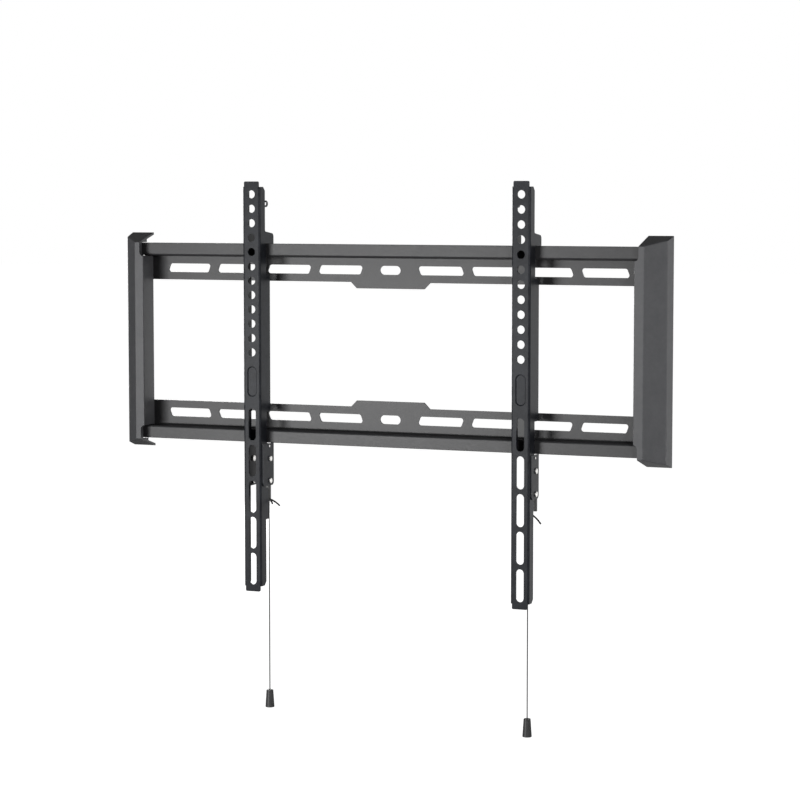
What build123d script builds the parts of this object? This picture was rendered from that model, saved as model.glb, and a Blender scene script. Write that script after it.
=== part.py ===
from build123d import *
import os
from math import atan, cos, radians, tan

os.makedirs("parts", exist_ok=True)

# Fixed wall bracket for a flat television: a wall plate of two folded rails with covered ends,
# and two hanging arms with cord-released latches. Millimetres, +Z up. The wall is the plane
# Y = 0, the front is towards -Y, and the origin is the middle of the wall plate's back.

# Overall sizes: width over the end covers, lip edge to lip edge, and wall to the arms' front
plate_width = 609.0
plate_height = 209.6
arm_front = 36.0

# Sheet steel
sheet = 2.0
bend_inside = 1.6
bend_outside = 2.2

# Rails: the folded section and its ends
rail_height = 39.7
lip_height = 13.5
lip_setback = 15.5
lip_in_cover = 14.3
web_end_gap = 1.0
tongue_drop = 3.5

# Wall slots along each rail
slot_row_drop = 27.1
slot_height = 9.2
slots_each_side = 4
slot_gap = 10.4
slot_end_gap = 15.1
slot_lean = 20.0
slot_corner = 2.6
centre_slot_length = 23.2
centre_slot_gap = 20.6

# Tab in the middle of each rail
tab_root = 89.0
tab_end = 76.0
tab_depth = 6.5

# End uprights
upright_width = 19.5
upright_flange = 7.5
upright_gap = 1.3
upright_inset = 0.8

# End covers
cap_setback = 3.3
cap_face = 10.3
cap_slope_run = 18.6
cap_slope_depth = 18.1
cap_foot = 1.9
cap_back_over = 10.5
cap_front_over = 0.7
cap_wall = 2.2
cap_inner_gap = 10.2
cap_notch = 4.5
cap_notch_below_lip = 14.3
cap_notch_return = 5.3
cap_return_depth = 17.0
cap_return_gap = 0.4
cap_edge = 1.2
cap_round = 0.9
cap_ridge = 2.6
boss_radius = 4.0
boss_drop = 20.1

# Rivets and screws of the wall plate
rivet_radius = 2.0
rivet_head_radius = 3.6
rivet_head = 1.5
rivet_pitch = 11.0
screw_radius = 1.7
screw_head_radius = 3.6
screw_head = 1.5
screw_length = 13.0
hole_clearance = 0.4

# Arms: the spacing of their hole rows, and how far the pair hangs right of the middle
arm_spacing = 300.0
arm_shift = 6.7
arm_length = 420.0
arm_above_lip = 59.2
arm_width = 20.0
arm_tab_width = 16.5
arm_tab = 5.6
arm_tab_corner = 1.4
arm_bend = 2.2
arm_end_flange = 12.3
arm_end_chamfer = 4.0
hole_radius = 4.25
hole_end = 7.8
hole_pitch = 15.0
hole_count = 12
recess_below_holes = 30.8
recess_length = 32.0
recess_width = 11.0
recess_depth = 1.2
oblong_count = 5
oblong_gap = 4.6
oblong_below_recess = 12.3
oblong_end = 1.7

# Flanges of the arms: depths behind the arm's front for the left and the right flange
hook_depth = {"left": (32.0, 32.5), "right": (22.5, 32.5)}
middle_depth = {"left": (16.4, 23.3), "right": (12.8, 25.7)}
guard_depth = {"left": (None, 18.0), "right": (None, None)}
guard_top = 47.2
guard_bottom = 81.2
guard_slope = 1.5
hook_rise = 12.8
hook_slope = 2.6
hook_corner = 4.0
hook_drop = 7.4
hang_clearance = 0.2
lip_clearance = 0.9
middle_clearance = 19.3
latch_neck = 2.4

# Latches: depths behind the arm's front, and drops below the lower lip
cheek = 1.5
cheek_front = 3.0
cheek_depth = {"left": 28.0, "right": 23.5}
cheek_below_lip = 0.7
cheek_drop = 45.7
cheek_corner = 4.0
stud_depth = {"left": 17.0, "right": 12.5}
stud_drop = 3.7
stud_radius = 1.2
stud_head = 0.6
pin_radius = 2.0
pin_head_radius = 3.0
pin_head = 1.4
pin_depth = {"left": 19.0, "right": 14.5}
far_pin_depth = 15.6
pin_drops = (17.2, 40.7)
pin_clearance = 0.15
slider_right = 5.3
slider_thick = 4.0
slider_front = 9.0
slider_back = 26.4
slider_top_gap = 1.5
bolt_back = 24.5
bolt_catch = 7.8
bolt_ramp = 3.0
latch_travel = 9.5
tail_front = 21.5
tail_drop = 59.2
tail_bar_left = -3.2
tail_bar_right = 9.6
cord_hole_radius = 0.8

# Latch spring, in the slider's lower window
window_width = 5.2
window_drop = 23.2
spring_radius = 1.6
spring_wire = 0.3
spring_turns = 5

# Pull cords: the cord hole used, as an offset from the arm's middle, and the cord's own sizes
cord_depth = 24.5
cord_offset = {"left": 7.45, "right": -0.35}
cord_length = {"left": 202.8, "right": 210.4}
cord_radius = 0.6
knot_radius = 1.7
knot_edge = 0.75
stopper_radius = 1.3
stopper_height = 1.8
loose_ends = {
    "left": [(13.0, -1.0, -6.6), (3.0, 2.0, -5.5)],
    "right": [(14.2, -1.0, -11.0), (-2.0, 1.0, -6.0)],
}
loose_end_radius = 0.6
pull_height = 19.0
pull_top_radius = 3.6
pull_bottom_radius = 4.85
pull_edge = 0.6
pull_dish = 1.2

# Cord parking hook, a bent wire on the rear edge of each arm's inner flange
park_wire = 1.0
park_drop = 20.2
park_reach = 4.5
park_bend = 2.5
park_tip = 2.0

# Values worked out from the driving dimensions: rails and uprights
lip_edge = plate_height / 2
shelf_under = lip_edge - lip_height
shelf_top = shelf_under + sheet
web_edge = lip_edge - rail_height
lip_front = arm_front - lip_setback
lip_back = lip_front - sheet
tongue_top = shelf_under - tongue_drop
cap_inner = plate_width / 2 - cap_face - cap_slope_run - cap_foot
lip_half_length = cap_inner + lip_in_cover
web_half_length = plate_width / 2 - cap_wall - web_end_gap
upright_outer = web_half_length - upright_inset
upright_inner = upright_outer - upright_width
upright_front = sheet * 2
upright_half = tongue_top + upright_gap
rivet_x = (upright_inner + web_half_length) / 2
rivet_z = (web_edge + tongue_top) / 2
slot_row = lip_edge - slot_row_drop
slot_start = centre_slot_length / 2 + centre_slot_gap
slot_run = cap_inner - slot_end_gap - slot_start
slot_pitch = (slot_run + slot_gap) / slots_each_side
slot_length = slot_pitch - slot_gap
slot_first = slot_start + slot_length / 2

# End covers
cap_front = arm_front - cap_setback
cap_back_height = plate_height + 2 * cap_back_over
cap_front_height = plate_height + 2 * cap_front_over
cap_slope = (cap_back_height - cap_front_height) / 2 / cap_front
boss_x = rivet_x
boss_z = web_edge - boss_drop

# Arms
arm_x = {"left": arm_shift - arm_spacing / 2, "right": arm_shift + arm_spacing / 2}
arm_half = arm_width / 2
arm_inside = arm_half - sheet
arm_top = lip_edge + arm_above_lip
arm_bottom = arm_top - arm_length
hole_top = arm_top - hole_end
hole_last = hole_top - (hole_count - 1) * hole_pitch
recess_centre = hole_last - recess_below_holes
oblong_top = recess_centre - recess_length / 2 - oblong_below_recess
oblong_pitch = (oblong_top - arm_bottom - oblong_end + oblong_gap) / oblong_count
oblong_length = oblong_pitch - oblong_gap
oblong_bottom = arm_bottom + oblong_end + oblong_length / 2
hook_top = lip_edge + hook_rise
park_height = arm_top - park_drop

# Latches and cords
pin_upper, pin_lower = (-lip_edge - drop for drop in pin_drops)
cheek_top = -lip_edge - cheek_below_lip
cheek_bottom = -lip_edge - cheek_drop
catch_top = -lip_edge + bolt_catch
slider_top = -lip_edge - slider_top_gap
slider_left = slider_right - slider_thick
slider_middle = (slider_left + slider_right) / 2
window_top = -lip_edge - window_drop
bolt_front = arm_front - lip_back + lip_clearance
tail_bottom = -lip_edge - tail_drop


def behind(depth):
    """Y of a point this far behind the arms' front face."""
    return depth - arm_front


# Rails
with BuildPart() as rail:
    with BuildSketch(Plane.YZ) as section:
        with BuildLine():
            Polyline(
                (0, web_edge),
                (0, shelf_top),
                (-lip_back, shelf_top),
                (-lip_back, lip_edge),
                (-lip_front, lip_edge),
                (-lip_front, shelf_under),
                (-sheet, shelf_under),
                (-sheet, web_edge),
                close=True,
            )
        make_face()
        for corner in ((0, shelf_top), (-lip_front, shelf_under)):
            fillet(section.vertices().sort_by_distance(corner)[0], bend_outside)
        for corner in ((-lip_back, shelf_top), (-sheet, shelf_under)):
            fillet(section.vertices().sort_by_distance(corner)[0], bend_inside)
        for corner in ((-lip_back, lip_edge), (-lip_front, lip_edge)):
            fillet(section.vertices().sort_by_distance(corner)[0], sheet / 4)
    extrude(amount=web_half_length, both=True)
    # The lip and shelf stop short of the web, which goes on as a flat tongue at each end
    end_cut = web_half_length - lip_half_length
    with BuildSketch(Plane.YZ.offset(lip_half_length)):
        with Locations((0, tongue_top)):
            Rectangle(3 * lip_front, rail_height, align=(Align.CENTER, Align.MIN))
    extrude(amount=end_cut, mode=Mode.SUBTRACT)
    with BuildSketch(Plane.YZ.offset(-lip_half_length)):
        with Locations((0, tongue_top)):
            Rectangle(3 * lip_front, rail_height, align=(Align.CENTER, Align.MIN))
    extrude(amount=-end_cut, mode=Mode.SUBTRACT)
    with BuildSketch(Plane.XZ) as tab:
        with BuildLine():
            Polyline(
                (-tab_root / 2, web_edge),
                (-tab_end / 2, web_edge - tab_depth),
                (tab_end / 2, web_edge - tab_depth),
                (tab_root / 2, web_edge),
                close=True,
            )
        make_face()
    extrude(amount=sheet)
    with BuildSketch(Plane.XZ) as slots:
        with Locations((0, slot_row)):
            SlotOverall(centre_slot_length, slot_height)
        lean = tan(radians(slot_lean)) * slot_height / 2
        for hand in (-1, 1):
            for index in range(slots_each_side):
                with BuildSketch(mode=Mode.PRIVATE) as slot:
                    with BuildLine():
                        Polyline(
                            (-slot_length / 2 + hand * lean, -slot_height / 2),
                            (slot_length / 2 + hand * lean, -slot_height / 2),
                            (slot_length / 2 - hand * lean, slot_height / 2),
                            (-slot_length / 2 - hand * lean, slot_height / 2),
                            close=True,
                        )
                    make_face()
                    fillet(slot.vertices(), slot_corner)
                with Locations((hand * (slot_first + index * slot_pitch), slot_row)):
                    add(slot.sketch)
    extrude(amount=sheet, mode=Mode.SUBTRACT)
    with BuildSketch(Plane.XZ):
        for hand in (-1, 1):
            with Locations((hand * rivet_x, rivet_z)):
                with GridLocations(0, rivet_pitch, 1, 2):
                    Circle(rivet_radius)
    extrude(amount=sheet, mode=Mode.SUBTRACT)
rail.part.label = "upper_rail"
export_step(rail.part, "parts/upper_rail.step")

# The lower rail is the same rail turned half round about the wall's normal
with BuildPart() as lower_rail:
    add(rail.part.rotate(Axis.Y, 180))
lower_rail.part.label = "lower_rail"
export_step(lower_rail.part, "parts/lower_rail.step")

# End uprights: an angle behind each end cover, riveted in front of the rails' tongues
for side, hand in (("left", -1), ("right", 1)):
    with BuildPart() as upright:
        with BuildSketch(Plane.XY) as section:
            with BuildLine():
                Polyline(
                    (hand * upright_inner, -sheet),
                    (hand * upright_outer, -sheet),
                    (hand * upright_outer, -upright_front - upright_flange),
                    (hand * (upright_outer - sheet), -upright_front - upright_flange),
                    (hand * (upright_outer - sheet), -upright_front),
                    (hand * upright_inner, -upright_front),
                    close=True,
                )
            make_face()
            outer = section.vertices().sort_by_distance((hand * upright_outer, -sheet))[0]
            fillet(outer, bend_outside)
        extrude(amount=upright_half, both=True)
        with BuildSketch(Plane.XZ.offset(sheet)):
            for end in (-1, 1):
                with Locations((hand * rivet_x, end * rivet_z)):
                    with GridLocations(0, rivet_pitch, 1, 2):
                        Circle(rivet_radius)
                with Locations((hand * boss_x, end * boss_z)):
                    Circle(screw_radius + hole_clearance)
        extrude(amount=sheet, mode=Mode.SUBTRACT)
    upright.part.label = f"{side}_upright"
    export_step(upright.part, f"parts/{side}_upright.step")

with BuildPart() as rivets:
    for hand in (-1, 1):
        for end in (-1, 1):
            with BuildSketch(Plane.XZ):
                with Locations((hand * rivet_x, end * rivet_z)):
                    with GridLocations(0, rivet_pitch, 1, 2):
                        Circle(rivet_radius)
            extrude(amount=upright_front + rivet_head / 2)
            with BuildSketch(Plane.XZ.offset(upright_front)):
                with Locations((hand * rivet_x, end * rivet_z)):
                    with GridLocations(0, rivet_pitch, 1, 2):
                        Circle(rivet_head_radius)
            extrude(amount=rivet_head, taper=25)
rivets.part.label = "rail_rivets"
export_step(rivets.part, "parts/rail_rivets.step")

with BuildPart() as screws:
    for hand in (-1, 1):
        for end in (-1, 1):
            with BuildSketch(Plane.XZ.offset(sheet)):
                with Locations((hand * boss_x, end * boss_z)):
                    Circle(screw_radius)
            extrude(amount=screw_length)
            with BuildSketch(Plane.XZ.offset(sheet)):
                with Locations((hand * boss_x, end * boss_z)):
                    Circle(screw_head_radius)
            extrude(amount=-screw_head)
screws.part.label = "cap_screws"
export_step(screws.part, "parts/cap_screws.step")


# End covers
def cap_solid(inset):
    """The right cover's outer shape, or its hollow when inset by the wall."""
    back = cap_wall + 1 if inset else 0
    slope_x = cap_inner + cap_face
    ridge_x = slope_x + cap_slope_run
    ridge_y = cap_slope_depth - cap_front
    with BuildPart() as body:
        with BuildSketch(Plane.XY) as outline:
            with BuildLine():
                Polyline(
                    (cap_inner, back),
                    (cap_inner, -cap_front),
                    (slope_x, -cap_front),
                    (ridge_x, ridge_y),
                    (ridge_x + cap_foot, back),
                    close=True,
                )
            make_face()
            fillet(outline.vertices().sort_by_distance((ridge_x, ridge_y))[0], cap_ridge)
            for corner in ((cap_inner, -cap_front), (slope_x, -cap_front)):
                fillet(outline.vertices().sort_by_distance(corner)[0], cap_edge)
            if inset:
                offset(amount=-inset, kind=Kind.INTERSECTION, mode=Mode.REPLACE)
        extrude(amount=cap_back_height, both=True)
        # Top and bottom are planes that lean in towards the front
        reach = 2 * cap_front
        top = cap_back_height / 2 - inset / cos(atan(cap_slope))
        rise = cap_slope * reach
        with BuildSketch(Plane.YZ.offset(cap_inner)):
            with BuildLine():
                Polyline(
                    (reach, top + rise),
                    (-reach, top - rise),
                    (-reach, rise - top),
                    (reach, -top - rise),
                    close=True,
                )
            make_face()
        extrude(amount=2 * upright_width, mode=Mode.INTERSECT)
        if not inset:
            ends = body.faces().sort_by(Axis.Z)
            for face in (ends[0], ends[-1]):
                fillet(face.edges().filter_by(lambda edge: edge.center().Y < -cap_round), cap_round)
    return body.part


def notch_outline(margin):
    """The notch in the cover's inner edge where the lips run in, grown by a margin."""
    corner = (cap_inner + cap_notch + margin, lip_edge - cap_notch_below_lip - margin)
    with BuildSketch(mode=Mode.PRIVATE) as notch:
        with Locations(corner):
            Rectangle(3 * cap_notch, cap_back_height, align=(Align.MAX, Align.MIN))
        fillet(notch.vertices().sort_by_distance(corner)[0], cap_notch + margin)
        mirror(about=Plane.XZ)
    return notch.sketch


cap_outside = cap_solid(0)
cap_hollow = cap_solid(cap_wall)

# What stands inside the cover: screw bosses, the notch's own wall, and the deeper walls past the lips
with BuildPart() as cap_inside:
    with BuildSketch(Plane.XZ.offset(upright_front)):
        for end in (-1, 1):
            with Locations((boss_x, end * boss_z)):
                Circle(boss_radius)
    extrude(amount=cap_front)
    with BuildSketch(Plane.XY.offset(lip_edge + cap_return_gap)):
        with Locations((cap_inner + cap_notch, -cap_front)):
            Rectangle(cap_wall, cap_return_depth, align=(Align.MIN, Align.MIN))
    extrude(amount=cap_front)
    mirror(about=Plane.XY)
    with BuildSketch(Plane.XZ.offset(cap_front - cap_notch_return)):
        add(notch_outline(cap_wall))
        add(notch_outline(0), mode=Mode.SUBTRACT)
    extrude(amount=cap_notch_return)
    add(cap_outside, mode=Mode.INTERSECT)

with BuildPart() as right_cap:
    add(cap_outside)
    add(cap_hollow, mode=Mode.SUBTRACT)
    # Behind its front part the inner wall is open, so that it clears the rails' webs
    with BuildSketch(Plane.YZ.offset(cap_inner)):
        Rectangle(cap_inner_gap, cap_back_height, align=(Align.MAX, Align.CENTER))
    extrude(amount=cap_wall, mode=Mode.SUBTRACT)
    # The lips run in through a notch at the top and bottom of the inner wall
    with BuildSketch(Plane.XZ):
        add(notch_outline(0))
    extrude(amount=2 * cap_front, mode=Mode.SUBTRACT)
    add(cap_inside.part)
    with BuildSketch(Plane.XZ.offset(upright_front)):
        for end in (-1, 1):
            with Locations((boss_x, end * boss_z)):
                Circle(screw_radius)
    extrude(amount=sheet + screw_length - upright_front, mode=Mode.SUBTRACT)
right_cap.part.label = "right_end_cap"
export_step(right_cap.part, "parts/right_end_cap.step")

with BuildPart() as left_cap:
    add(right_cap.part.mirror(Plane.YZ))
left_cap.part.label = "left_end_cap"
export_step(left_cap.part, "parts/left_end_cap.step")


# Arms: the same folded channel twice
def flange_outline(hook, middle, guard):
    """One flange of an arm, seen from its side: the folded edge in front, the hook behind the lip."""
    front_gap = behind(arm_front - lip_front - lip_clearance)
    back_gap = lip_clearance - lip_back
    end_back = behind(arm_end_flange)
    middle_top = shelf_under - middle_clearance
    middle_back = behind(middle)
    hook_back = behind(hook)
    corner = min(hook_corner, (hook_back - back_gap) / 2)
    with BuildSketch(mode=Mode.PRIVATE) as outline:
        with BuildLine():
            Polyline(
                (-arm_front, arm_top),
                (end_back - arm_end_chamfer, arm_top),
                (end_back, arm_top - arm_end_chamfer),
                (end_back, hook_top),
                (hook_back, hook_top - hook_slope),
                (hook_back, lip_edge - hook_drop),
                (back_gap, lip_edge - hook_drop),
                (back_gap, lip_edge + hang_clearance),
                (front_gap, lip_edge + hang_clearance),
                (front_gap, middle_top),
                (middle_back, middle_top),
                (middle_back, -middle_top),
                (front_gap, -middle_top),
                (front_gap, -lip_edge),
                (end_back, -lip_edge - latch_neck),
                (end_back, arm_bottom + arm_end_chamfer),
                (end_back - arm_end_chamfer, arm_bottom),
                (-arm_front, arm_bottom),
                close=True,
            )
        make_face()
        fillet(outline.vertices().sort_by_distance((hook_back, hook_top - hook_slope))[0], corner)
        fillet(outline.vertices().sort_by_distance((hook_back, lip_edge - hook_drop))[0], corner / 2)
        fillet(outline.vertices().sort_by_distance((end_back, hook_top))[0], corner / 2)
        if middle_back > front_gap:
            middle_corner = min(hook_corner, (middle_back - front_gap) / 2)
            for end in (middle_top, -middle_top):
                fillet(outline.vertices().sort_by_distance((middle_back, end))[0], middle_corner)
        # A shallow ear below the latch keeps the cord off the flange's edge
        if guard:
            ear_back = behind(guard)
            ear_top = -lip_edge - guard_top
            ear_bottom = -lip_edge - guard_bottom
            with BuildLine():
                Polyline(
                    (end_back - sheet, ear_top),
                    (end_back, ear_top),
                    (ear_back, ear_top - guard_slope),
                    (ear_back, ear_bottom),
                    (end_back - sheet, ear_bottom),
                    close=True,
                )
            make_face()
    return outline.sketch


for side, middle in arm_x.items():
    with BuildPart() as arm:
        with BuildSketch(Plane.XZ.offset(arm_front)) as plate:
            with Locations((middle, (arm_top + arm_bottom) / 2)):
                Rectangle(arm_width, arm_top - arm_bottom)
                Rectangle(arm_tab_width, arm_top - arm_bottom + 2 * arm_tab)
            tab_ends = plate.vertices().group_by(Axis.Y)
            fillet(tab_ends[0] + tab_ends[-1], arm_tab_corner)
        extrude(amount=-sheet)
        with BuildSketch(Plane.YZ.offset(middle - arm_half)):
            add(flange_outline(hook_depth[side][0], middle_depth[side][0], guard_depth[side][0]))
        extrude(amount=sheet)
        with BuildSketch(Plane.YZ.offset(middle + arm_half)):
            add(flange_outline(hook_depth[side][1], middle_depth[side][1], guard_depth[side][1]))
        extrude(amount=-sheet)
        long_edges = arm.edges().filter_by(Axis.Z).group_by(Axis.Y)[0]
        fillet(long_edges.filter_by(lambda edge: edge.length > arm_top), arm_bend)
        with BuildSketch(Plane.XZ.offset(arm_front)):
            for index in range(hole_count):
                with Locations((middle, hole_top - index * hole_pitch)):
                    Circle(hole_radius)
            for index in range(oblong_count):
                with Locations((middle, oblong_bottom + index * oblong_pitch)):
                    SlotOverall(oblong_length, 2 * hole_radius, rotation=90)
        extrude(amount=-sheet, mode=Mode.SUBTRACT)
        # The oblong recess is pressed through the sheet
        with BuildSketch(Plane.XZ.offset(arm_front - sheet)):
            with Locations((middle, recess_centre)):
                SlotOverall(recess_length - sheet / 2, recess_width - sheet / 2, rotation=90)
        extrude(amount=-recess_depth, taper=20)
        with BuildSketch(Plane.XZ.offset(arm_front)):
            with Locations((middle, recess_centre)):
                SlotOverall(recess_length, recess_width, rotation=90)
        extrude(amount=-recess_depth, taper=40, mode=Mode.SUBTRACT)
    arm.part.label = f"{side}_arm"
    export_step(arm.part, f"parts/{side}_arm.step")


# Latches: cheek plates, guide pins, a sprung slider, and the cord that pulls it down
def cheek_plate(plane, depth, pin_at, stud_at):
    """A latch side plate, drawn from the arm's side and as thick as the cheek sheet."""
    with BuildPart() as plate:
        with BuildSketch(plane) as outline:
            with BuildLine():
                Polyline(
                    (behind(cheek_front), cheek_top),
                    (behind(depth), cheek_top),
                    (behind(depth), cheek_bottom),
                    (behind(cheek_front), cheek_bottom),
                    close=True,
                )
            make_face()
            for corner in ((behind(depth), cheek_bottom), (behind(cheek_front), cheek_bottom)):
                fillet(outline.vertices().sort_by_distance(corner)[0], cheek_corner)
            with Locations((behind(pin_at), pin_upper), (behind(pin_at), pin_lower)):
                Circle(pin_radius, mode=Mode.SUBTRACT)
            with Locations((behind(stud_at), -lip_edge - stud_drop)):
                Circle(stud_radius, mode=Mode.SUBTRACT)
        extrude(amount=cheek)
    return plate.part


for side, middle in arm_x.items():
    with BuildPart() as latch_cheek:
        near_plane = Plane.YZ.offset(middle + arm_half)
        add(cheek_plate(near_plane, cheek_depth[side], pin_depth[side], stud_depth[side]))
    latch_cheek.part.label = f"{side}_latch_cheek"
    export_step(latch_cheek.part, f"parts/{side}_latch_cheek.step")

# Only the left latch has a second cheek, inside the channel
far_plane = Plane.YZ.offset(arm_x["left"] - arm_inside)
with BuildPart() as far_cheek:
    add(cheek_plate(far_plane, cheek_depth["left"], far_pin_depth, stud_depth["left"]))
far_cheek.part.label = "left_far_cheek"
export_step(far_cheek.part, "parts/left_far_cheek.step")

for side, middle in arm_x.items():
    # Each run along a pin or stud, from right to left: start, end, radius, and its places
    cheek_face = arm_half + cheek
    pin_y = behind(pin_depth[side])
    pin_places = [(pin_y, pin_upper), (pin_y, pin_lower)]
    stud_places = [(behind(stud_depth[side]), -lip_edge - stud_drop)]
    pin_runs = [
        (cheek_face + pin_head, cheek_face, pin_head_radius, pin_places),
        (cheek_face, slider_left - pin_head, pin_radius, pin_places),
        (arm_inside, slider_right + pin_clearance, pin_head_radius, pin_places),
        (slider_left - pin_clearance, slider_left - pin_head, pin_head_radius, pin_places),
        (cheek_face + stud_head, arm_half, stud_radius, stud_places),
    ]
    if side == "left":
        far_face = cheek - arm_inside
        far_places = [(behind(far_pin_depth), pin_upper), (behind(far_pin_depth), pin_lower)]
        pin_runs.append((far_face + pin_head, far_face, pin_head_radius, far_places))
        pin_runs.append((far_face, -arm_inside, pin_radius, far_places))
        pin_runs.append((-arm_inside, -arm_inside - pin_head, pin_head_radius, far_places))
    with BuildPart() as pins:
        for start, end, radius, places in pin_runs:
            with BuildSketch(Plane.YZ.offset(middle + end)):
                with Locations(*places):
                    Circle(radius)
            extrude(amount=start - end)
        fillet(pins.edges().filter_by(GeomType.CIRCLE).group_by(Axis.X)[-1], pin_head / 2)
    pins.part.label = f"{side}_guide_pins"
    export_step(pins.part, f"parts/{side}_guide_pins.step")

    tail_bar = cheek_bottom - tail_bottom
    with BuildPart() as slider:
        with BuildSketch(Plane.YZ.offset(middle + slider_left)) as outline:
            with BuildLine():
                Polyline(
                    (behind(slider_front), slider_top),
                    (behind(bolt_front), slider_top),
                    (behind(bolt_front), catch_top),
                    (behind(bolt_back - bolt_ramp), catch_top),
                    (behind(bolt_back), catch_top - bolt_ramp),
                    (behind(bolt_back), slider_top),
                    (behind(slider_back), slider_top),
                    (behind(slider_back), tail_bottom),
                    (behind(tail_front), tail_bottom),
                    (behind(tail_front), cheek_bottom),
                    (behind(slider_front), cheek_bottom),
                    close=True,
                )
            make_face()
            for corner in ((behind(slider_front), slider_top), (behind(slider_front), cheek_bottom)):
                fillet(outline.vertices().sort_by_distance(corner)[0], pin_radius)
            # The upper pin guides the slider; the lower window also holds the spring
            guide_half = pin_radius + pin_clearance
            with Locations((pin_y, pin_upper + latch_travel / 2)):
                SlotOverall(latch_travel + 2 * guide_half, 2 * guide_half, rotation=90, mode=Mode.SUBTRACT)
            with Locations((pin_y, window_top)):
                window_height = window_top - pin_lower + guide_half
                window_align = (Align.CENTER, Align.MAX)
                Rectangle(window_width, window_height, align=window_align, mode=Mode.SUBTRACT)
        extrude(amount=slider_thick)
        with BuildSketch(Plane.XY.offset(tail_bottom)) as bar:
            with Locations((middle + tail_bar_left, behind(tail_front))):
                bar_length = tail_bar_right - tail_bar_left
                Rectangle(bar_length, slider_back - tail_front, align=(Align.MIN, Align.MIN))
            fillet(bar.vertices(), pin_radius)
        extrude(amount=tail_bar)
        with BuildSketch(Plane.XY.offset(tail_bottom)):
            for offset_x in cord_offset.values():
                with Locations((middle + offset_x, behind(cord_depth))):
                    Circle(cord_hole_radius)
        extrude(amount=latch_travel + tail_bar, mode=Mode.SUBTRACT)
    slider.part.label = f"{side}_latch_slider"
    export_step(slider.part, f"parts/{side}_latch_slider.step")

    with BuildPart() as spring:
        coil_bottom = pin_lower + pin_radius + spring_wire
        coil_height = window_top - spring_wire - coil_bottom
        with BuildLine():
            coil = Helix(
                pitch=coil_height / spring_turns,
                height=coil_height,
                radius=spring_radius,
                center=(middle + slider_middle, pin_y, coil_bottom),
            )
        with BuildSketch(Plane(origin=coil @ 0, z_dir=coil % 0)):
            Circle(spring_wire)
        sweep(path=coil, is_frenet=True)
    spring.part.label = f"{side}_latch_spring"
    export_step(spring.part, f"parts/{side}_latch_spring.step")

    # The cord: a stopper on the tail bar, a knot with loose ends below it, the cord and its pull
    cord_x = middle + cord_offset[side]
    cord_y = behind(cord_depth)
    knot_middle = Vector(cord_x, cord_y, tail_bottom - knot_radius)
    with BuildPart() as knot:
        with BuildSketch(Plane.XY.offset(tail_bottom)):
            with Locations((cord_x, cord_y)):
                Circle(knot_radius)
        extrude(amount=-2 * knot_radius)
        with BuildSketch(Plane.XY.offset(tail_bottom + tail_bar)):
            with Locations((cord_x, cord_y)):
                Circle(stopper_radius)
        extrude(amount=stopper_height)
        fillet(knot.edges().filter_by(GeomType.CIRCLE), knot_edge)
        with BuildSketch(Plane.XY.offset(tail_bottom - knot_radius)):
            with Locations((cord_x, cord_y)):
                Circle(cord_radius)
        extrude(amount=knot_radius + tail_bar + stopper_height / 2)
        for reach in loose_ends[side]:
            tip = knot_middle + Vector(reach)
            droop = knot_middle + Vector(reach[0] * 0.55, reach[1] * 0.55, reach[2] * 0.4)
            with BuildLine():
                strand = ThreePointArc(knot_middle, droop, tip)
            with BuildSketch(Plane(origin=strand @ 0, z_dir=strand % 0)):
                Circle(loose_end_radius)
            sweep(path=strand)
    knot.part.label = f"{side}_cord_knot"
    export_step(knot.part, f"parts/{side}_cord_knot.step")

    pull_top = tail_bottom - 2 * knot_radius - cord_length[side]
    with BuildPart() as cord:
        with BuildSketch(Plane.XY.offset(pull_top - pull_height / 3)):
            with Locations((cord_x, cord_y)):
                Circle(cord_radius)
        extrude(amount=tail_bottom - 2 * knot_radius - pull_top + pull_height / 3)
    cord.part.label = f"{side}_pull_cord"
    export_step(cord.part, f"parts/{side}_pull_cord.step")

    with BuildPart() as pull:
        pull_plane = Plane((cord_x, cord_y, pull_top), x_dir=(1, 0, 0), z_dir=(0, -1, 0))
        with BuildSketch(pull_plane) as profile:
            with BuildLine():
                Polyline(
                    (0, 0),
                    (pull_top_radius, 0),
                    (pull_bottom_radius, -pull_height),
                    (pull_bottom_radius - 2 * pull_edge, -pull_height),
                    (0, pull_dish - pull_height),
                    close=True,
                )
            make_face()
            fillet(profile.vertices().sort_by_distance((pull_top_radius, 0))[0], pull_edge)
            fillet(profile.vertices().sort_by_distance((pull_bottom_radius, -pull_height))[0], pull_edge)
        revolve(axis=Axis((cord_x, cord_y, 0), (0, 0, 1)))
        with BuildSketch(Plane.XY.offset(pull_top)):
            with Locations((cord_x, cord_y)):
                Circle(cord_radius)
        extrude(amount=-pull_height / 3, mode=Mode.SUBTRACT)
    pull.part.label = f"{side}_pull_knob"
    export_step(pull.part, f"parts/{side}_pull_knob.step")

    inner = 1 if side == "left" else -1
    with BuildPart() as park:
        with BuildLine(Plane.YZ.offset(middle + inner * (arm_half - sheet / 2))) as wire:
            root = (behind(arm_end_flange), park_height)
            turn = (behind(arm_end_flange) + park_reach, park_height)
            back = (turn[0] + park_bend, park_height + park_bend)
            over = (turn[0], park_height + 2 * park_bend)
            Line(root, turn)
            ThreePointArc(turn, back, over)
            Line(over, (over[0] - park_tip, over[1]))
        with BuildSketch(Plane(origin=wire.line @ 0, z_dir=wire.line % 0)):
            Circle(park_wire)
        sweep()
    park.part.label = f"{side}_cord_hook"
    export_step(park.part, f"parts/{side}_cord_hook.step")
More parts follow.
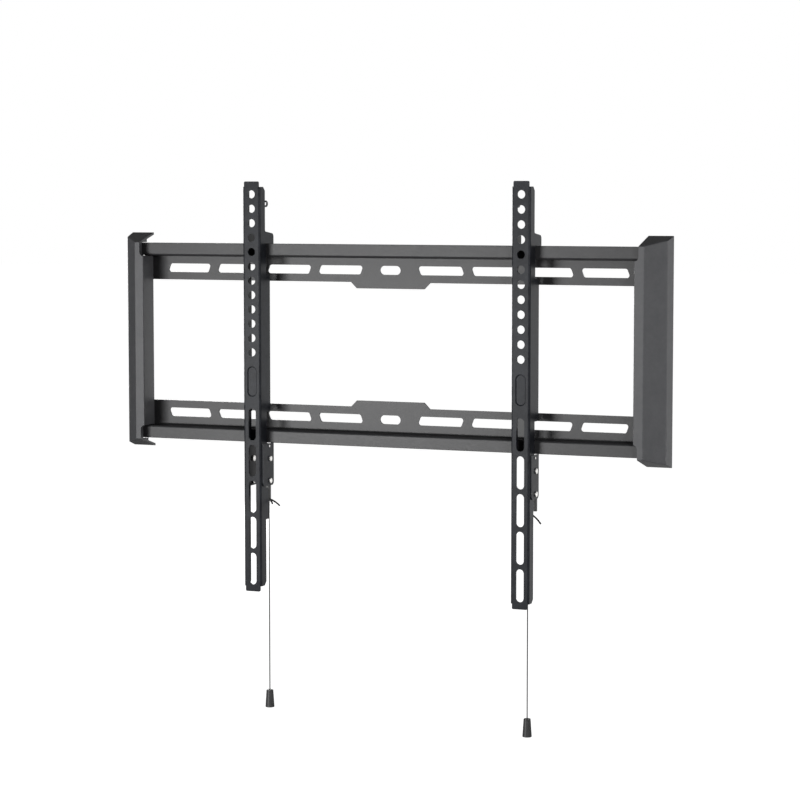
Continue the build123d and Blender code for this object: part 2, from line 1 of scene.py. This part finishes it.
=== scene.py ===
import math
import bmesh
import bpy
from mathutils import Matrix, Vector


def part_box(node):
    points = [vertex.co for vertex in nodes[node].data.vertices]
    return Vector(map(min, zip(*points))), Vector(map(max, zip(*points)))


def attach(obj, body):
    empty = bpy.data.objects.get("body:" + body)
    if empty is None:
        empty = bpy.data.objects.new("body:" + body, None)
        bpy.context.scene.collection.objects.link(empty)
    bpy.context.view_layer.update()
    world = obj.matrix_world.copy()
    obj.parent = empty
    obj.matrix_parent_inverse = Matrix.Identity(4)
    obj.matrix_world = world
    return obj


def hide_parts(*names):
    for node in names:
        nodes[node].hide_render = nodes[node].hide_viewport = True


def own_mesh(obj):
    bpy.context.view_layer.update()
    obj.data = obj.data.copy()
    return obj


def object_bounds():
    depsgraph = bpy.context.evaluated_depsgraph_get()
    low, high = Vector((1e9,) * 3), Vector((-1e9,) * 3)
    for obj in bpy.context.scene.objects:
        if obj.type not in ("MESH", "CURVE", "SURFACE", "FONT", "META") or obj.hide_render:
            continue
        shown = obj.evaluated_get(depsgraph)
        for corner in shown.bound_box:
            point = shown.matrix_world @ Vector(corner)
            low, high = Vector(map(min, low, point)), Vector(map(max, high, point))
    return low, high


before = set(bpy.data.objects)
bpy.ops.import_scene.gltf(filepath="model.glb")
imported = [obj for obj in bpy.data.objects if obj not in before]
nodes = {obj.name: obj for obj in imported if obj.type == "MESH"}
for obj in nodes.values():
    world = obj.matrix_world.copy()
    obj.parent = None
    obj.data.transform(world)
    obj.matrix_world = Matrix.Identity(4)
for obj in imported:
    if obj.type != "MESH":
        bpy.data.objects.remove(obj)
cad_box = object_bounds()
sides = ("left", "right")

# Photograph's camera: metres and degrees, found by fitting the rails, holes and arms;
# the focal length is a share of the picture's width
CAMERA_PLACE = Vector((1.03396, -2.39952, 0.15666))
CAMERA_YAW = 23.106
CAMERA_PITCH = 4.676
FOCAL_SHARE = 2520 / 800
SENSOR = 36.0
NEAR_CLIP = 0.05
FAR_CLIP = 60.0

# Textures: the part of a noise's range that is used, the cloudy tone of paint, and how far
# the fine grain changes the gloss
NOISE_LOW = 0.3
NOISE_HIGH = 0.7
CLOUD_SCALE = 60.0
CLOUD_DETAIL = 6.0
CLOUD_ROUGHNESS = 0.75
GLOSS_CHANGE = 0.06

# Cords: the same straight hanging runs as the solids, and how far the knots' strands spread
CORD_RADIUS = 0.0006
CORD_POINTS = 5
KNOT_FRAY = 0.0003
SAME_POINT = 1e-6

# Stage: the floor stays clear of the pulls, also when a latch is pulled down all the way. Behind
# the bracket the floor and the backdrop are white in reflections, each over a soft edge
FLOOR_GAP = 0.012
FLOOR_SIZE = 30.0
FLOOR_COLOR = (0.35, 0.35, 0.35)
FLOOR_SWEEP = (0.2, 0.9)
SWEEP_WAY = Vector((0.6, 0.8, 0.0))
BACKDROP_WAY = Vector((0.15, 0.99, 0.0))
BACKDROP_EDGE = (0.35, 0.75)
BACKDROP_RISE = (0.22, 0.50)
FILL_LEVEL = 0.04

# Soft lamps: place, width and height in metres, and power in watts
LAMPS = {
    "key": ((-0.70, -1.60, -0.12), (0.66, 0.40), 18.5),
    "near_side": ((1.0, -1.05, 0.2), (0.25, 0.7), 7.0),
    "side": ((1.85, 0.15, 0.10), (0.2, 0.7), 5.5),
    "back": ((-1.3, 1.5, 0.1), (0.8, 0.6), 14.0),
}


def link(obj):
    bpy.context.scene.collection.objects.link(obj)
    return obj


# Materials
def new_material(name):
    """A node material with its shader, and object coordinates to lay patterns by."""
    material = bpy.data.materials.new(name)
    material.use_nodes = True
    tree = material.node_tree
    shader = tree.nodes["Principled BSDF"]
    coords = tree.nodes.new("ShaderNodeTexCoord")
    return material, tree, shader, coords


def noise(tree, coords, scale, detail=2.0, roughness=0.5):
    texture = tree.nodes.new("ShaderNodeTexNoise")
    texture.inputs["Scale"].default_value = scale
    texture.inputs["Detail"].default_value = detail
    texture.inputs["Roughness"].default_value = roughness
    tree.links.new(coords.outputs["Object"], texture.inputs["Vector"])
    return texture.outputs["Fac"]


def spread(tree, value, low, high):
    """The value of a texture, spread from low to high."""
    ranged = tree.nodes.new("ShaderNodeMapRange")
    ranged.inputs["From Min"].default_value = NOISE_LOW
    ranged.inputs["From Max"].default_value = NOISE_HIGH
    ranged.inputs["To Min"].default_value = low
    ranged.inputs["To Max"].default_value = high
    tree.links.new(value, ranged.inputs["Value"])
    return ranged.outputs["Result"]


def tint(tree, value, dark, light):
    """A colour between dark and light, by the value of a texture."""
    ramp = tree.nodes.new("ShaderNodeValToRGB")
    ramp.color_ramp.elements[0].position = NOISE_LOW
    ramp.color_ramp.elements[0].color = (*dark, 1)
    ramp.color_ramp.elements[1].position = NOISE_HIGH
    ramp.color_ramp.elements[1].color = (*light, 1)
    tree.links.new(value, ramp.inputs["Fac"])
    return ramp.outputs["Color"]


def bump(tree, shader, height, distance, strength):
    node = tree.nodes.new("ShaderNodeBump")
    node.inputs["Distance"].default_value = distance
    node.inputs["Strength"].default_value = strength
    tree.links.new(height, node.inputs["Height"])
    tree.links.new(node.outputs["Normal"], shader.inputs["Normal"])


def shaded(color, share):
    return tuple(channel * share for channel in color)


def coated(name, color, roughness, grain, relief, variation=0.12, specular=0.5):
    """Paint or moulded plastic with a fine grain, and faint cloudy changes of tone."""
    material, tree, shader, coords = new_material(name)
    cloud = noise(tree, coords, CLOUD_SCALE, CLOUD_DETAIL, CLOUD_ROUGHNESS)
    dark, light = shaded(color, 1 - variation), shaded(color, 1 + variation)
    tree.links.new(tint(tree, cloud, dark, light), shader.inputs["Base Color"])
    fine = noise(tree, coords, grain)
    rough = spread(tree, fine, roughness - GLOSS_CHANGE, roughness + GLOSS_CHANGE)
    tree.links.new(rough, shader.inputs["Roughness"])
    bump(tree, shader, fine, distance=relief, strength=0.5)
    shader.inputs["Specular IOR Level"].default_value = specular
    return material


def zinc(name):
    """Bright zinc plate with fine turning marks and dull patches."""
    material, tree, shader, coords = new_material(name)
    patches = noise(tree, coords, scale=180.0, detail=3.0)
    color = tint(tree, patches, dark=(0.78, 0.77, 0.74), light=(0.93, 0.92, 0.90))
    tree.links.new(color, shader.inputs["Base Color"])
    marks = noise(tree, coords, scale=2600.0)
    tree.links.new(spread(tree, marks, low=0.24, high=0.36), shader.inputs["Roughness"])
    bump(tree, shader, marks, distance=0.00002, strength=0.3)
    shader.inputs["Metallic"].default_value = 1.0
    return material


def braid(name):
    """Thin black cord: crossed strands that catch a little light."""
    material, tree, shader, coords = new_material(name)
    strands = tree.nodes.new("ShaderNodeTexWave")
    strands.bands_direction = "DIAGONAL"
    strands.inputs["Scale"].default_value = 420.0
    strands.inputs["Distortion"].default_value = 1.5
    tree.links.new(coords.outputs["Object"], strands.inputs["Vector"])
    color = tint(tree, strands.outputs["Fac"], dark=(0.012, 0.012, 0.013), light=(0.05, 0.05, 0.053))
    tree.links.new(color, shader.inputs["Base Color"])
    bump(tree, shader, strands.outputs["Fac"], distance=0.0001, strength=0.6)
    shader.inputs["Roughness"].default_value = 0.75
    shader.inputs["Sheen Weight"].default_value = 0.15
    return material


rail_paint = coated(
    "rail_paint",
    color=(0.034, 0.034, 0.036),
    roughness=0.42,
    grain=1500.0,
    relief=0.00006,
    specular=0.40,
)
arm_paint = coated(
    "arm_paint",
    color=(0.021, 0.023, 0.028),
    roughness=0.36,
    grain=1500.0,
    relief=0.00006,
    variation=0.45,
    specular=0.12,
)
cap_plastic = coated(
    "cap_plastic",
    color=(0.090, 0.091, 0.096),
    roughness=0.42,
    grain=2200.0,
    relief=0.00005,
    specular=0.32,
)
latch_plastic = coated(
    "latch_plastic",
    color=(0.050, 0.050, 0.051),
    roughness=0.40,
    grain=1800.0,
    relief=0.00003,
)
hook_paint = coated(
    "hook_paint",
    color=(0.06, 0.062, 0.066),
    roughness=0.45,
    grain=1500.0,
    relief=0.00004,
)
zinc_plate = zinc("zinc_plate")
cord_braid = braid("cord_braid")

looks = {
    "upper_rail": rail_paint,
    "lower_rail": rail_paint,
    "left_upright": rail_paint,
    "right_upright": rail_paint,
    "left_end_cap": cap_plastic,
    "right_end_cap": cap_plastic,
    "rail_rivets": zinc_plate,
    "cap_screws": zinc_plate,
    "left_far_cheek": arm_paint,
}
for side in sides:
    looks[f"{side}_arm"] = arm_paint
    looks[f"{side}_latch_cheek"] = arm_paint
    looks[f"{side}_guide_pins"] = zinc_plate
    looks[f"{side}_latch_slider"] = latch_plastic
    looks[f"{side}_latch_spring"] = zinc_plate
    looks[f"{side}_cord_hook"] = hook_paint
    looks[f"{side}_cord_knot"] = cord_braid
    looks[f"{side}_pull_cord"] = cord_braid
    looks[f"{side}_pull_knob"] = latch_plastic
for name, material in looks.items():
    slots = nodes[name].data.materials
    slots.clear()
    slots.append(material)


# Cords
def frayed_knot(side):
    """The knot and its loose ends, a little thicker than the solid where the strands spread."""
    shape = bmesh.new()
    shape.from_mesh(nodes[f"{side}_cord_knot"].data)
    bmesh.ops.remove_doubles(shape, verts=shape.verts, dist=SAME_POINT)
    shape.normal_update()
    for vert in shape.verts:
        vert.co += vert.normal * KNOT_FRAY
    mesh = bpy.data.meshes.new(f"{side}_knot")
    shape.to_mesh(mesh)
    shape.free()
    mesh.materials.append(cord_braid)
    piece = link(bpy.data.objects.new(f"{side}_knot", mesh))
    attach(piece, f"{side}_latch")
    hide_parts(f"{side}_cord_knot")
    return piece


def hanging_cord(side):
    """The pull cord as one smooth spline, from the knot down into the pull."""
    low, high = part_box(f"{side}_pull_cord")
    middle = (low + high) / 2
    top = Vector((middle.x, middle.y, high.z))
    fall = high.z - low.z
    curve = bpy.data.curves.new(f"{side}_cord_line", "CURVE")
    curve.dimensions = "3D"
    curve.bevel_depth = CORD_RADIUS
    curve.bevel_resolution = 3
    spline = curve.splines.new("NURBS")
    spline.points.add(CORD_POINTS - 1)
    for index, point in enumerate(spline.points):
        place = top - Vector((0, 0, fall * index / (CORD_POINTS - 1)))
        point.co = (*place, 1)
    spline.order_u = 3
    spline.use_endpoint_u = True
    spline.resolution_u = 12
    curve.materials.append(cord_braid)
    piece = link(bpy.data.objects.new(f"{side}_cord", curve))
    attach(piece, f"{side}_latch")
    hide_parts(f"{side}_pull_cord")
    frayed_knot(side)


for side in sides:
    hanging_cord(side)


# Springs
def pressed_spring(side):
    """The latch spring as its own copy of the solid's mesh, carried with the arm's body."""
    mesh = nodes[f"{side}_latch_spring"].data.copy()
    mesh.name = f"{side}_coil"
    piece = link(bpy.data.objects.new(f"{side}_coil", mesh))
    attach(piece, f"{side}_arm_body")
    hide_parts(f"{side}_latch_spring")
    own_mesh(piece)


for side in sides:
    pressed_spring(side)


# Stage: a pale floor, a white backdrop behind the bracket, and soft lamps
def combine(tree, operation, first, second):
    """Two values, each a number or a node's output, joined by one operation."""
    node = tree.nodes.new("ShaderNodeMath")
    node.operation = operation
    for socket, value in zip(node.inputs, (first, second)):
        if isinstance(value, float):
            socket.default_value = value
        else:
            tree.links.new(value, socket)
    return node.outputs["Value"]


def fade(tree, value, edge, low, high):
    """A soft step from low to high as the value crosses the edge."""
    ranged = tree.nodes.new("ShaderNodeMapRange")
    ranged.interpolation_type = "SMOOTHSTEP"
    ranged.inputs["From Min"].default_value = edge[0]
    ranged.inputs["From Max"].default_value = edge[1]
    ranged.inputs["To Min"].default_value = low
    ranged.inputs["To Max"].default_value = high
    tree.links.new(value, ranged.inputs["Value"])
    return ranged.outputs["Result"]


def ray_kinds(tree):
    """Whether a ray comes from the camera, and whether it is a reflection or goes through glass."""
    rays = tree.nodes.new("ShaderNodeLightPath")
    glossy, transmitted = rays.outputs["Is Glossy Ray"], rays.outputs["Is Transmission Ray"]
    return rays.outputs["Is Camera Ray"], combine(tree, "MAXIMUM", glossy, transmitted)


def pale_floor():
    """A matt floor, white to the camera; behind the bracket it is white in reflections too."""
    mesh = bpy.data.meshes.new("floor")
    half = FLOOR_SIZE / 2
    level = cad_box[0].z - FLOOR_GAP
    corners = [(-half, -half, level), (half, -half, level), (half, half, level), (-half, half, level)]
    mesh.from_pydata(corners, [], [(0, 1, 2, 3)])
    floor = link(bpy.data.objects.new("floor", mesh))
    material = bpy.data.materials.new("floor_white")
    material.use_nodes = True
    tree = material.node_tree
    shader = tree.nodes["Principled BSDF"]
    shader.inputs["Base Color"].default_value = (*FLOOR_COLOR, 1)
    shader.inputs["Roughness"].default_value = 0.9
    shader.inputs["Specular IOR Level"].default_value = 0.0
    glow = tree.nodes.new("ShaderNodeEmission")
    glow.inputs["Strength"].default_value = 1.0
    place = tree.nodes.new("ShaderNodeNewGeometry")
    reach = tree.nodes.new("ShaderNodeVectorMath")
    reach.operation = "DOT_PRODUCT"
    reach.inputs[1].default_value = SWEEP_WAY
    tree.links.new(place.outputs["Position"], reach.inputs[0])
    behind = fade(tree, reach.outputs["Value"], FLOOR_SWEEP, low=0.0, high=1.0)
    direct, mirrored = ray_kinds(tree)
    reflected = combine(tree, "MULTIPLY", behind, mirrored)
    seen = combine(tree, "MAXIMUM", direct, reflected)
    both = tree.nodes.new("ShaderNodeAddShader")
    mix = tree.nodes.new("ShaderNodeMixShader")
    tree.links.new(shader.outputs["BSDF"], both.inputs[0])
    tree.links.new(glow.outputs["Emission"], both.inputs[1])
    tree.links.new(seen, mix.inputs["Fac"])
    tree.links.new(shader.outputs["BSDF"], mix.inputs[1])
    tree.links.new(both.outputs["Shader"], mix.inputs[2])
    tree.links.new(mix.outputs["Shader"], tree.nodes["Material Output"].inputs["Surface"])
    mesh.materials.append(material)


def white_world():
    """White to the camera; reflections show a white backdrop behind; the rest is a dim even fill."""
    world = bpy.data.worlds.new("studio")
    bpy.context.scene.world = world
    world.use_nodes = True
    tree = world.node_tree
    background = tree.nodes["Background"]
    background.inputs["Color"].default_value = (1, 1, 1, 1)
    coords = tree.nodes.new("ShaderNodeTexCoord")
    toward = tree.nodes.new("ShaderNodeVectorMath")
    toward.operation = "DOT_PRODUCT"
    toward.inputs[1].default_value = BACKDROP_WAY.normalized()
    tree.links.new(coords.outputs["Generated"], toward.inputs[0])
    axes = tree.nodes.new("ShaderNodeSeparateXYZ")
    tree.links.new(coords.outputs["Generated"], axes.inputs["Vector"])
    rise = combine(tree, "ABSOLUTE", axes.outputs["Z"], 0.0)
    across = fade(tree, toward.outputs["Value"], BACKDROP_EDGE, low=0.0, high=1.0)
    upright = fade(tree, rise, BACKDROP_RISE, low=1.0, high=0.0)
    backdrop = combine(tree, "MULTIPLY", across, upright)
    direct, mirrored = ray_kinds(tree)
    reflected = combine(tree, "MULTIPLY", backdrop, mirrored)
    lit = combine(tree, "MAXIMUM", reflected, FILL_LEVEL)
    seen = combine(tree, "MAXIMUM", direct, lit)
    tree.links.new(seen, background.inputs["Strength"])


def soft_lamp(name, place, size, power):
    """A rectangular lamp that is aimed at the middle of the wall plate."""
    data = bpy.data.lights.new(name, "AREA")
    data.shape = "RECTANGLE"
    data.size, data.size_y = size
    data.energy = power
    lamp = link(bpy.data.objects.new(name, data))
    lamp.location = place
    lamp.rotation_mode = "QUATERNION"
    lamp.rotation_quaternion = (-lamp.location).to_track_quat("-Z", "Y")


pale_floor()
white_world()
for name, (place, size, power) in LAMPS.items():
    soft_lamp(name, place, size, power)

# Camera
yaw, pitch = math.radians(CAMERA_YAW), math.radians(CAMERA_PITCH)
forward = Vector((-math.sin(yaw) * math.cos(pitch), math.cos(yaw) * math.cos(pitch), -math.sin(pitch)))
lens = bpy.data.cameras.new("camera")
lens.sensor_width = SENSOR
lens.lens = SENSOR * FOCAL_SHARE
lens.clip_start = NEAR_CLIP
lens.clip_end = FAR_CLIP
camera = link(bpy.data.objects.new("camera", lens))
camera.location = CAMERA_PLACE
camera.rotation_mode = "QUATERNION"
camera.rotation_quaternion = forward.to_track_quat("-Z", "Y")
scene = bpy.context.scene
scene.camera = camera
scene.view_settings.view_transform = "Standard"
